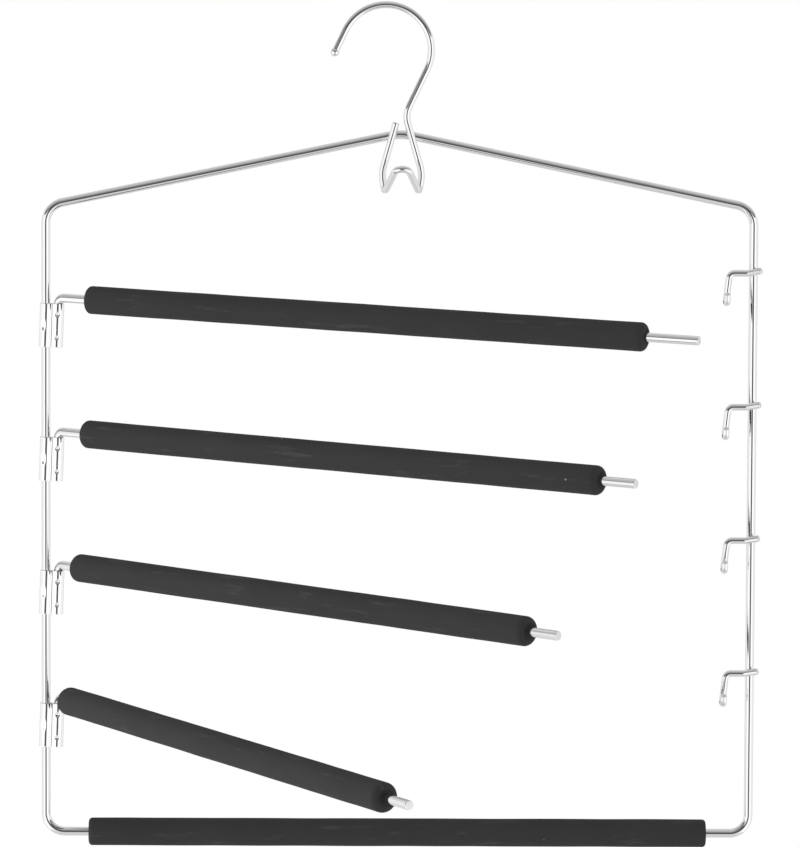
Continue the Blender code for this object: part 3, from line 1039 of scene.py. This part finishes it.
@dataclass
class HingeBracket:
    """Hinge bracket: one strip rolled round the upright and the arm's leg, crimped and dimpled in front."""

    frame: WireFrame
    tier: int
    sheet: float = 0.6 * MM
    height: float = 24.2 * MM
    web: float = 0.65 * MM
    crease: float = 1.5 * MM
    seam: float = 0.5 * MM
    upright_play: float = 0.55 * MM
    pivot_play: float = 0.3 * MM
    lean_gap: float = 0.15 * MM
    crimp_gap: float = 0.17 * MM
    arm_gap: float = 0.7 * MM
    crimp_tall: float = 8.3 * MM
    crimp_wide: float = 3.6 * MM
    crimp_aside: float = 1.3 * MM
    # Beside the crimp the sheet bulges out
    bulge: float = 0.4 * MM
    bulge_wide: float = 2.6 * MM
    bulge_tall: float = 7.0 * MM
    bulge_aside: float = 4.2 * MM
    upper_dimple: float = 3.1 * MM
    upper_drop: float = 6.0 * MM
    lower_dimple: float = 2.5 * MM
    lower_rise: float = 5.4 * MM
    dimple_depth: float = 0.5 * MM
    # Pressing thins the wall, so its outside goes in further than its inside
    thinning: float = 0.45
    edge_round: float = 0.14 * MM
    # Rows of a softened edge, as shares of its rounding, with the sheet's thickness there
    edge_rows: tuple[float, ...] = (0.0, 0.3, 1.0)
    edge_shares: tuple[float, ...] = (0.55, 0.88, 1.0)
    seam_share: float = 0.7
    finish: ChromeSheet = ChromeSheet()

    def __post_init__(self) -> None:
        """Works out the sleeves, the presses and where the bracket sits."""
        self.upright_loop = Gauge.FRAME.radius + self.upright_play + self.sheet / 2
        self.pivot_loop = Gauge.ARM.radius + self.pivot_play + self.sheet / 2
        self.spacing = (
            Gauge.FRAME.radius + Gauge.ARM.radius + self.upright_play + self.pivot_play + self.web
        )
        self.arm_above = self.height / 2 + Gauge.ARM.radius + self.arm_gap
        self.lean = math.asin(2 * (self.upright_play - self.lean_gap) / self.height)
        upper = self.height / 2 - self.upper_drop
        lower = self.lower_rise - self.height / 2
        crimp_deep = self.upright_play - self.crimp_gap
        self.presses = [
            Press(Sleeve.UPRIGHT, -self.crimp_aside, 0.0, self.crimp_wide, self.crimp_tall, crimp_deep),
            Press(Sleeve.UPRIGHT, -self.bulge_aside, 0.0, self.bulge_wide, self.bulge_tall, -self.bulge),
            Press(Sleeve.PIVOT, 0.0, upper, self.upper_dimple, self.upper_dimple, self.dimple_depth),
            Press(Sleeve.PIVOT, 0.0, lower, self.lower_dimple, self.lower_dimple, self.dimple_depth),
        ]
        crimp = Vector((self.frame.left, self.frame.back, self.frame.level(self.tier) - self.arm_above))
        self.place = Matrix.Translation(crimp) @ Matrix.Rotation(self.lean, 4, "Y")

    def roll(self, middle: Vector, radius: float, angles: list[float], sleeve: Sleeve) -> list[StripPoint]:
        """Returns one arc of the rolled strip in plan.

        Args:
            middle: The arc's middle.
            radius: Its radius.
            angles: Where its points lie.
            sleeve: What it belongs to. The web's arcs are creases, turned the other way from the sleeves.

        Returns:
            Its points.
        """
        way = -1 if sleeve is Sleeve.WEB else 1
        rays = [Vector((math.cos(a), math.sin(a), 0)) for a in angles]
        return [
            StripPoint(middle + radius * ray, way * ray, sleeve, radius * (angle - FRONT))
            for angle, ray in zip(angles, rays)
        ]

    def section(self) -> list[StripPoint]:
        """Returns the rolled strip in plan, from one edge of its seam to the other.

        Returns:
            Its points.
        """
        near = self.upright_loop + self.crease
        far = self.pivot_loop + self.crease
        along = (near * near - far * far + self.spacing * self.spacing) / (2 * self.spacing)
        out = math.sqrt(near * near - along * along)
        at_upright = math.atan2(out, along)
        at_pivot = math.atan2(out, self.spacing - along)
        gap = math.asin(self.seam / (2 * self.crease))
        back, front = Vector((along, out, 0)), Vector((along, -out, 0))
        upright, pivot = Vector((0, 0, 0)), Vector((self.spacing, 0, 0))
        first = spread(FRONT - gap, math.pi + at_upright, CREASE_STEP)
        middle = spread(math.pi - at_upright, at_pivot, CREASE_STEP)
        last = spread(FULL_TURN - at_pivot, FRONT + gap, CREASE_STEP)
        # The sleeves leave out their end points, which the creases have
        near_turn = spread(at_upright, FULL_TURN - at_upright, SHEET_STEP)[1:-1]
        far_turn = spread(math.pi + at_pivot, FULL_TURN + math.pi - at_pivot, SHEET_STEP)[1:-1]
        return [
            *self.roll(back, self.crease, first, Sleeve.WEB),
            *self.roll(upright, self.upright_loop, near_turn, Sleeve.UPRIGHT),
            *self.roll(front, self.crease, middle, Sleeve.WEB),
            *self.roll(pivot, self.pivot_loop, far_turn, Sleeve.PIVOT),
            *self.roll(back, self.crease, last, Sleeve.WEB),
        ]

    def build(self) -> None:
        """Rolls the strip with its presses and softened edges, and adds it."""
        half = self.height / 2
        soft = self.edge_round
        ends = [share * soft for share in self.edge_rows]
        heights = [-half + e for e in ends] + spread(-half + soft, half - soft, SHEET_ROW)[1:-1]
        heights += [half - e for e in reversed(ends)]
        section = self.section()
        columns, rows = len(section), len(heights)
        verts = []
        for face in (1, -1):
            for i, point in enumerate(section):
                thin = self.seam_share if i in (0, columns - 1) else 1.0
                for j, height in enumerate(heights):
                    rim = min(j, rows - 1 - j, len(ends) - 1)
                    share = thin * self.edge_shares[rim]
                    deep = sum(press.depth(point, height) for press in self.presses)
                    deep *= 1 + self.thinning * max(face, 0)
                    off = face * share * self.sheet / 2 - deep
                    verts.append(point.place + point.normal * off + UP * height)
        inner = columns * rows
        faces = []
        for i in range(columns - 1):
            for j in range(rows - 1):
                a, b = i * rows + j, (i + 1) * rows + j
                faces.append((a, b, b + 1, a + 1))
                faces.append((inner + a, inner + a + 1, inner + b + 1, inner + b))
            for j, way in ((0, 1), (rows - 1, -1)):
                a, b = i * rows + j, (i + 1) * rows + j
                faces.append((b, a, inner + a, inner + b)[::way])
        for i, way in ((0, 1), (columns - 1, -1)):
            for j in range(rows - 1):
                a = i * rows + j
                faces.append((a, a + 1, inner + a + 1, inner + a)[::way])
        number = self.tier + 1
        mesh = smooth_mesh(f"rolled_bracket_{number}", verts, faces)
        mesh.transform(self.place)
        add_piece(mesh, self.finish, f"bracket_{number}", f"hinge_bracket_{number}")


@dataclass
class FoamGrip:
    """Foam sleeve pushed over a wire: extruded skin, knife-cut ends and a bore.

    Attributes:
        name: The piece's name.
        node: The solid that it stands for.
        body: The body that it rides on.
        start: Middle of its first end.
        end: Middle of its last end.
        wire: The wire that it is on.
    """

    name: str
    node: str
    body: str
    start: Vector
    end: Vector
    wire: Gauge
    diameter: float = 15.4 * MM
    rim: float = 2.0 * MM
    tip_rim: float = 2.0 * MM
    gap: float = 0.03 * MM
    bore_depth: float = 6.0 * MM
    bore_lip: float = 0.06 * MM
    lip_depth: float = 0.08 * MM
    face_step: float = 0.7 * MM
    unevenness: float = 0.12 * MM
    swell: float = 26.0 * MM
    # Each sleeve takes its streaks from another stretch of the skin, this many times its own height
    streak_shift: float = 3.0
    fill: float = 1.0
    skin: Finish = FoamSkin()
    cut: Finish = FoamCut()

    def profile(self) -> list[tuple[float, float, bool]]:
        """Returns the sleeve's outline from its first bore to its last.

        Returns:
            Distance along, radius and whether the stretch up to the next point is a cut face.
        """
        length = (self.end - self.start).length
        bore = self.wire.radius + self.gap
        outer = self.diameter / 2
        quarter = spread(0, math.pi / 2, RIM_STEP)
        ends = []
        for rim in (self.rim, self.tip_rim):
            waist = outer - rim
            face = spread(bore + self.bore_lip, waist, self.face_step)
            end = [(self.bore_depth, bore, True), (self.lip_depth, bore, True)]
            end += [(0.0, r, True) for r in face[:-1]]
            end += [(rim * (1 - math.sin(a)), waist + rim * math.cos(a), False) for a in reversed(quarter)]
            ends.append(end)
        near, far = ends
        body = [(x, outer, False) for x in spread(self.rim, length - self.tip_rim, GRIP_RING)[1:-1]]
        cut_from = len(quarter) - 1
        far = [(length - x, r, i >= cut_from) for i, (x, r, _) in enumerate(reversed(far))]
        return near + body + far

    def build(self) -> None:
        """Turns the sleeve, makes it slightly uneven as extruded foam is, and adds it."""
        along = (self.end - self.start).normalized()
        across = along.cross(Vector((0, 1, 0))).normalized()
        over = along.cross(across)
        outline = self.profile()
        outer = self.diameter / 2
        verts = []
        for distance, radius, _ in outline:
            for angle in spread(0, FULL_TURN, FULL_TURN / GRIP_SIDES)[:-1]:
                ray = across * math.cos(angle) + over * math.sin(angle)
                spot = self.start + along * distance + ray * radius
                uneven = self.unevenness * noise.noise(spot / self.swell) * (radius / outer) ** 2
                verts.append(spot + ray * uneven)
        shift = self.streak_shift * self.start.z
        faces, uvs = tube([distance + shift for distance, _, _ in outline], GRIP_SIDES, FULL_TURN * outer)
        # The rings turn the other way from a wire's, so each face is turned over
        faces = [(a, d, c, b) for a, b, c, d in faces]
        uvs = [uvs[i + corner] for i in range(0, len(uvs), 4) for corner in (0, 3, 2, 1)]
        mesh = smooth_mesh(self.name, verts, faces, uvs)
        mesh.materials.append(self.skin.make())
        mesh.materials.append(self.cut.make())
        cuts = np.repeat([int(is_cut) for _, _, is_cut in outline[:-1]], GRIP_SIDES)
        mesh.polygons.foreach_set("material_index", cuts)
        piece = add_piece(mesh, self.skin, self.body, self.node)


@dataclass(frozen=True)
class ArmFit:
    """How one arm hangs at rest, and how far its foam sleeve was pushed on.

    Attributes:
        swing: Angle away from the frame.
        droop: Angle of the elbow below square.
        hinge_inset: Bare wire between the hinge's axis and the foam.
        tip_inset: Bare wire between the foam and the arm's tip.
    """

    swing: float
    droop: float
    hinge_inset: float
    tip_inset: float


ARM_FITS = (
    ArmFit(math.radians(23.7), math.radians(0.36), 18.9 * MM, 29.5 * MM),
    ArmFit(math.radians(35.0), math.radians(-0.16), 19.8 * MM, 21.0 * MM),
    ArmFit(math.radians(44.8), math.radians(-0.23), 16.6 * MM, 19.7 * MM),
    ArmFit(math.radians(59.3), math.radians(0.59), 12.2 * MM, 22.1 * MM),
)


@dataclass
class SwingArm:
    """Swing arm of one tier: a grooved leg in the bracket, a tight elbow and a long wire in foam."""

    bracket: HingeBracket
    fit: ArmFit
    catch_inset: float = 15.3 * MM
    overhang: float = 6.6 * MM
    elbow: float = 3.7 * MM
    leg_tail: float = 0.1 * MM
    groove_depth: float = 0.5 * MM
    groove_flank: float = 0.3 * MM
    cut_edge: float = 0.4 * MM
    foam_tip: float = 3.2 * MM
    finish: ChromeWire = ChromeWire()

    def __post_init__(self) -> None:
        """Works out the arm's reach, its direction and where it sits."""
        bracket = self.bracket
        self.number = bracket.tier + 1
        self.reach = bracket.frame.width - bracket.spacing - self.catch_inset + self.overhang
        self.ahead = Vector((math.cos(self.fit.droop), 0, -math.sin(self.fit.droop)))
        pivot = Vector((bracket.spacing, 0, bracket.arm_above))
        self.place = bracket.place @ Matrix.Translation(pivot) @ Matrix.Rotation(-self.fit.swing, 4, "Z")

    def leg(self) -> Wire:
        """Returns the grooved leg, from its lower end up.

        Returns:
            The wire so far.
        """
        bracket = self.bracket
        radius = Gauge.ARM.radius
        top = bracket.height / 2 - bracket.arm_above
        foot = top - bracket.height
        leg = Wire().run([Vector((0, 0, foot - self.leg_tail))], radius)
        lower = (foot + bracket.lower_rise, bracket.lower_dimple / 2)
        upper = (top - bracket.upper_drop, bracket.upper_dimple / 2)
        for middle, half in (lower, upper):
            flank = half - self.groove_flank
            for offset, depth in ((-half, 0), (-flank, 1), (flank, 1), (half, 0)):
                leg.run([Vector((0, 0, middle + offset))], radius - depth * self.groove_depth)
        return leg

    def build(self) -> None:
        """Bends the arm and adds it."""
        leg = self.leg()
        tip = self.ahead * self.reach
        elbow = bend(leg.points[-1], Vector((0, 0, 0)), tip, self.elbow)
        arm = leg.run([*elbow, tip], Gauge.ARM.radius).trim(self.cut_edge)
        mesh = arm.mesh(f"bent_arm_{self.number}", self.finish)
        mesh.transform(self.place)
        add_piece(mesh, self.finish, f"arm_{self.number}", f"arm_wire_{self.number}")

    def dress(self) -> None:
        """Pushes the foam sleeve over the arm."""
        start = self.place @ (self.ahead * self.fit.hinge_inset)
        end = self.place @ (self.ahead * (self.reach - self.fit.tip_inset))
        names = (f"foam_arm_{self.number}", f"arm_grip_{self.number}", f"arm_{self.number}")
        FoamGrip(*names, start, end, Gauge.ARM, tip_rim=self.foam_tip).build()


@dataclass
class Surroundings:
    """White studio that the chrome mirrors, plain white to the camera and even light on matt surfaces.

    Its sizes are parts of a direction from the part: across to either side, along to the back, and up.
    """

    even_light: float = 0.66
    wall_top: Fade = Fade(-0.8, 0.2, 0.19, 0.35)
    wall_edge: Fade = Fade(-0.015, 0.03)
    # The walls leave a gap where the camera stands
    gap_depth: float = 0.28
    gap_across: Fade = Fade(0.22, 0.36)
    gap_along: Fade = Fade(-0.6, -0.4)
    # A pale grey table in front, white walls and their grey far ends
    table: Fade = Fade(0.2, 0.45, 0.76, 1.26)
    far_ends: Fade = Fade(0.8, 0.97, 1.0, 0.78)
    # A grey backdrop, which sweeps out over the floor
    backdrop: float = 0.83
    back_wall: Fade = Fade(0.3, 0.68)
    sweep_down: Fade = Fade(-0.15, -0.4)
    sweep_along: Fade = Fade(0.1, 0.4)
    # A dark doorway straight behind, which the chrome only shows from behind
    doorway: Fade = Fade(0.93, 0.985, 1.0, 0.1)
    # The unlit room over the walls, from eye level up to overhead
    room_levels: tuple[tuple[float, float], ...] = (
        (0.0, 0.02), (0.15, 0.05), (0.3, 0.13), (0.5, 0.28), (0.85, 0.5), (1.0, 0.68),
    )
    room_sides: Fade = Fade(0.4, 0.8, 1.0, 1.5)
    room_back: Fade = Fade(-0.4, 0.4, 0.1, 0.78)

    def __post_init__(self) -> None:
        """Makes the world, and splits a direction into its parts."""
        world = bpy.data.worlds.new("white_studio")
        world.use_nodes = True
        bpy.context.scene.world = world
        self.tree = world.node_tree
        place = add_node(self.tree, "TexCoord").outputs["Generated"]
        way = add_node(self.tree, "SeparateXYZ", {0: place}).outputs
        self.across = add_node(self.tree, "Math", {0: way["X"]}, operation="ABSOLUTE")
        self.along, self.height = way["Y"], way["Z"]

    def over_walls(self) -> Node:
        """Adds the walls' outline, low in the gap where the camera stands and high behind.

        Returns:
            The node that gives 1 over the walls and 0 on them.
        """
        tree = self.tree
        top = add_node(tree, "MapRange", self.wall_top.of(self.along))
        aside = add_node(tree, "MapRange", self.gap_across.of(self.across), **SMOOTH)
        behind = add_node(tree, "MapRange", self.gap_along.of(self.along), **SMOOTH)
        wall = add_node(tree, "Math", {0: aside, 1: behind}, operation="MAXIMUM")
        reach = add_node(tree, "Mix", {"Factor": wall, "A": -self.gap_depth, "B": top})
        over = add_node(tree, "Math", {0: self.height, 1: reach}, operation="SUBTRACT")
        return add_node(tree, "MapRange", self.wall_edge.of(over), **SMOOTH)

    def wall_light(self) -> Node:
        """Adds the light of the table, the walls and the backdrop.

        Returns:
            The node that gives it.
        """
        tree = self.tree
        front = add_node(tree, "MapRange", self.table.of(self.across), **SMOOTH)
        ends = add_node(tree, "MapRange", self.far_ends.of(self.across), **SMOOTH)
        sides = add_node(tree, "Math", {0: front, 1: ends}, operation="MULTIPLY")
        behind = add_node(tree, "MapRange", self.back_wall.of(self.along), **SMOOTH)
        foot = add_node(tree, "MapRange", self.sweep_down.of(self.height), **SMOOTH)
        swept = add_node(tree, "MapRange", self.sweep_along.of(self.along), **SMOOTH)
        sweep = add_node(tree, "Math", {0: foot, 1: swept}, operation="MULTIPLY")
        share = add_node(tree, "Math", {0: behind, 1: sweep}, operation="MAXIMUM")
        return add_node(tree, "Mix", {"Factor": share, "A": sides, "B": self.backdrop})

    def room_light(self) -> Node:
        """Adds the light of the unlit room, lighter overhead, at the sides and at the back.

        Returns:
            The node that gives it.
        """
        tree = self.tree
        up = add_node(tree, "ValToRGB", {"Fac": self.height})
        first, *middle, last = self.room_levels
        for element, (position, light) in zip(up.color_ramp.elements, (first, last)):
            element.position, element.color = position, (light, light, light, 1)
        for position, light in middle:
            up.color_ramp.elements.new(position).color = (light, light, light, 1)
        behind = add_node(tree, "MapRange", self.room_back.of(self.along))
        aside = add_node(tree, "MapRange", self.room_sides.of(self.across), **SMOOTH)
        over = add_node(tree, "Math", {0: up, 1: aside}, operation="MULTIPLY")
        return add_node(tree, "Math", {0: over, 1: behind}, operation="MAXIMUM")

    def build(self) -> None:
        """Joins walls, room and doorway, and shows metal, matt surfaces and the camera their own share."""
        tree = self.tree
        lights = {"A": self.wall_light(), "B": self.room_light()}
        studio = add_node(tree, "Mix", {"Factor": self.over_walls(), **lights})
        door = add_node(tree, "MapRange", self.doorway.of(self.along), **SMOOTH)
        lit = add_node(tree, "Math", {0: studio, 1: door}, operation="MULTIPLY")
        path = add_node(tree, "LightPath").outputs
        rays = {0: path["Is Glossy Ray"], 1: path["Is Transmission Ray"]}
        mirror = add_node(tree, "Math", rays, operation="MAXIMUM")
        shone = add_node(tree, "Mix", {"Factor": mirror, "A": self.even_light, "B": lit})
        seen = add_node(tree, "Mix", {"Factor": path["Is Camera Ray"], "A": shone, "B": 1.0})
        feed(tree.nodes["Background"], {"Color": linear(WHITE), "Strength": seen})


@dataclass(frozen=True)
class Softbox:
    """One soft lamp that faces the part.

    Attributes:
        name: The lamp's name.
        place: Where it hangs.
        size: The side of its square face.
        power: Its power in watts.
    """

    name: str
    place: tuple[float, float, float]
    size: float
    power: float

    def hang(self) -> None:
        """Adds the lamp, which the chrome doesn't mirror."""
        data = bpy.data.lights.new(self.name, "AREA")
        data.size = self.size
        data.energy = self.power
        lamp = bpy.data.objects.new(self.name, data)
        lamp.location = self.place
        middle = (CAD_BOX[0] + CAD_BOX[1]) / 2
        lamp.rotation_euler = (middle - Vector(self.place)).to_track_quat("-Z", "Y").to_euler()
        lamp.visible_glossy = False
        bpy.context.scene.collection.objects.link(lamp)


@dataclass
class Studio:
    """Camera, soft lamps and a pale floor far below the hanging part."""

    # The photograph's camera: its place, its angles in radians and its focal length in pixels
    eye: tuple[float, float, float] = (-0.01563, -2.6894, -0.02804)
    pitch: float = 0.07429
    yaw: float = 0.00898
    roll: float = -0.00462
    focal_pixels: float = 4891.0
    picture_height: float = 847.0
    sensor: float = 36.0
    view_length: float = 50.0
    floor_drop: float = 1.7
    floor_radius: float = 1.15
    floor_step: float = math.radians(3.0)
    floor: Finish = FloorVinyl()
    lamps: tuple[Softbox, ...] = (
        Softbox("softbox_left", (-1.2, -0.4, -0.5), 0.9, 8.5),
        Softbox("softbox_right", (1.9, -1.8, -1.0), 1.4, 5.0),
    )

    def set_camera(self) -> None:
        """Stands the camera at the photograph's viewing angle."""
        data = bpy.data.cameras.new("camera")
        data.sensor_width = self.sensor
        data.lens = self.focal_pixels * self.sensor / self.picture_height
        data.clip_end = self.view_length
        flat = math.cos(self.pitch)
        ahead = Vector((math.sin(self.yaw) * flat, math.cos(self.yaw) * flat, -math.sin(self.pitch)))
        level = Vector((math.cos(self.yaw), -math.sin(self.yaw), 0))
        down = ahead.cross(level)
        right = level * math.cos(self.roll) + down * math.sin(self.roll)
        over = level * math.sin(self.roll) - down * math.cos(self.roll)
        turn = Matrix((right, over, -ahead)).transposed().to_4x4()
        camera = bpy.data.objects.new("camera", data)
        camera.matrix_world = Matrix.Translation(self.eye) @ turn
        bpy.context.scene.collection.objects.link(camera)
        bpy.context.scene.camera = camera

    def lay_floor(self) -> None:
        """Lays the round floor far below the part."""
        turns = spread(0, FULL_TURN, self.floor_step)[:-1]
        verts = [(self.floor_radius * math.cos(a), self.floor_radius * math.sin(a), 0) for a in turns]
        mesh = smooth_mesh("studio_floor", verts, [tuple(range(len(verts)))])
        mesh.materials.append(self.floor.make())
        floor = bpy.data.objects.new("studio_floor", mesh)
        floor.location = (0, 0, -self.floor_drop)
        bpy.context.scene.collection.objects.link(floor)

    def build(self) -> None:
        """Sets up the camera, the lamps and the floor."""
        bpy.context.scene.view_settings.view_transform = "Standard"
        self.set_camera()
        for lamp in self.lamps:
            lamp.hang()
        self.lay_floor()


def main() -> None:
    """Builds the studio and every sub-assembly in order."""
    logging.basicConfig(level=logging.INFO, format="%(name)s: %(message)s")
    Surroundings().build()
    Studio().build()
    hook = RodHook()
    wire_frame = WireFrame(hook)
    wire_frame.build()
    hook.build()
    wire_frame.weld_hook()
    for tier, fit in enumerate(ARM_FITS):
        Catch(wire_frame, tier).build()
        bracket = HingeBracket(wire_frame, tier)
        bracket.build()
        arm = SwingArm(bracket, fit)
        arm.build()
        arm.dress()
    wire_frame.dress()


if __name__ == "__main__":
    main()
